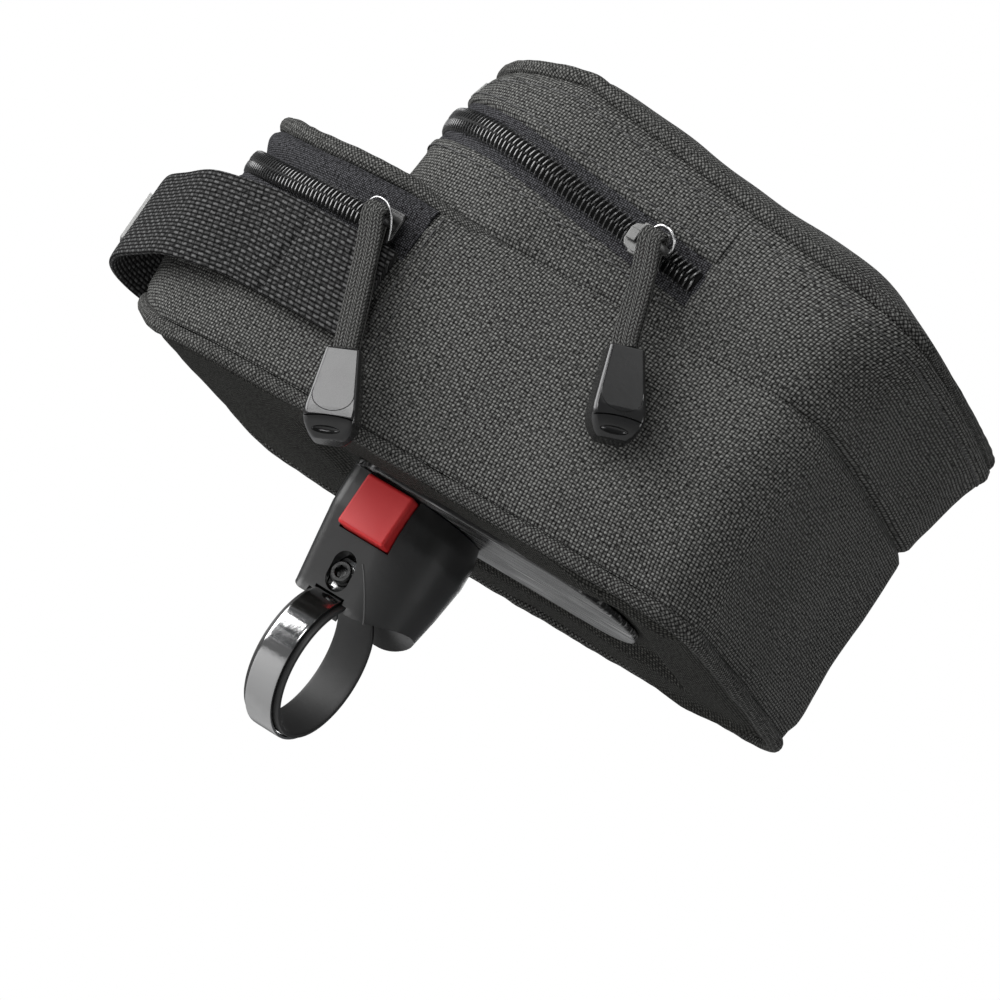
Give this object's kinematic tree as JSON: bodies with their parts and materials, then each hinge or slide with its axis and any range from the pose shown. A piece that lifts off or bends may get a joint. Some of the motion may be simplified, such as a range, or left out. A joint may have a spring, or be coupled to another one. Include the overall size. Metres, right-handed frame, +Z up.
{
  "type": "bicycle handlebar bag with quick-release stem bracket",
  "caption": "Small soft zipped bag with a stepped top, a webbing strap in front and a quick-release bracket that a steel band clamps on a bicycle's stem.",
  "frame": {"origin": "on the stem's axis, under the middle of the bracket's release button", "axes": "+X to the front of the bicycle along the stem, +Y to the rider's left, the side of the release button and the zip pulls, +Z up"},
  "size_m": [0.1887, 0.11, 0.1547],
  "materials": {
    "woven_cloth": "near-black coated nylon cloth with a fine dotted weave",
    "piping_cloth": "near-black cloth rolled over the seams",
    "zip_tape": "dark blue-grey twill tape",
    "zip_teeth": "black nylon coil",
    "webbing": "coarse black woven webbing",
    "pale_patch": "plain pale grey, satin",
    "slider_metal": "dark grey nickel finish, worn bright on the edges",
    "pull_cord": "black braided cord",
    "toggle_plastic": "glossy black moulding",
    "plate_plastic": "dark smooth moulding",
    "bracket_plastic": "satin black moulding",
    "button_plastic": "red, lightly glossy",
    "band_steel": "polished stainless strip",
    "liner_rubber": "black rubber strip",
    "screw_steel": "zinc-plated socket screw"
  },
  "bodies": {
    "bag": {"bottom_panel": "woven_cloth", "bottom_piping": "piping_cloth", "nose_wall": "woven_cloth", "body_wall": "woven_cloth", "front_zip_tape": "zip_tape", "front_zip_teeth": "zip_teeth", "front_lid": "woven_cloth", "front_lid_piping": "piping_cloth", "step_wall": "woven_cloth", "main_zip_tape": "zip_tape", "main_zip_teeth": "zip_teeth", "lid_band": "woven_cloth", "back_wall": "woven_cloth", "top_piping": "piping_cloth", "top_lid": "woven_cloth", "webbing_handle": "webbing", "strap_patch": "pale_patch", "front_patch": "pale_patch", "lid_patch": "pale_patch", "front_zip_slider": "slider_metal", "front_pull_cord": "pull_cord", "front_pull_toggle": "toggle_plastic", "main_zip_slider": "slider_metal", "main_pull_cord": "pull_cord", "main_pull_toggle": "toggle_plastic", "base_plate": "plate_plastic", "bracket": "bracket_plastic", "clamp_band": "band_steel", "band_liner": "liner_rubber", "band_screw": "screw_steel"},
    "button": {"release_button": "button_plastic"}
  },
  "joints": [
    {"name": "button_press", "type": "slide", "parent": "bag", "child": "button", "axis": [0, -1, 0], "range_m": [0, 0.0025], "stiffness_N_per_m": 2500, "springref_m": -0.001}
  ]
}
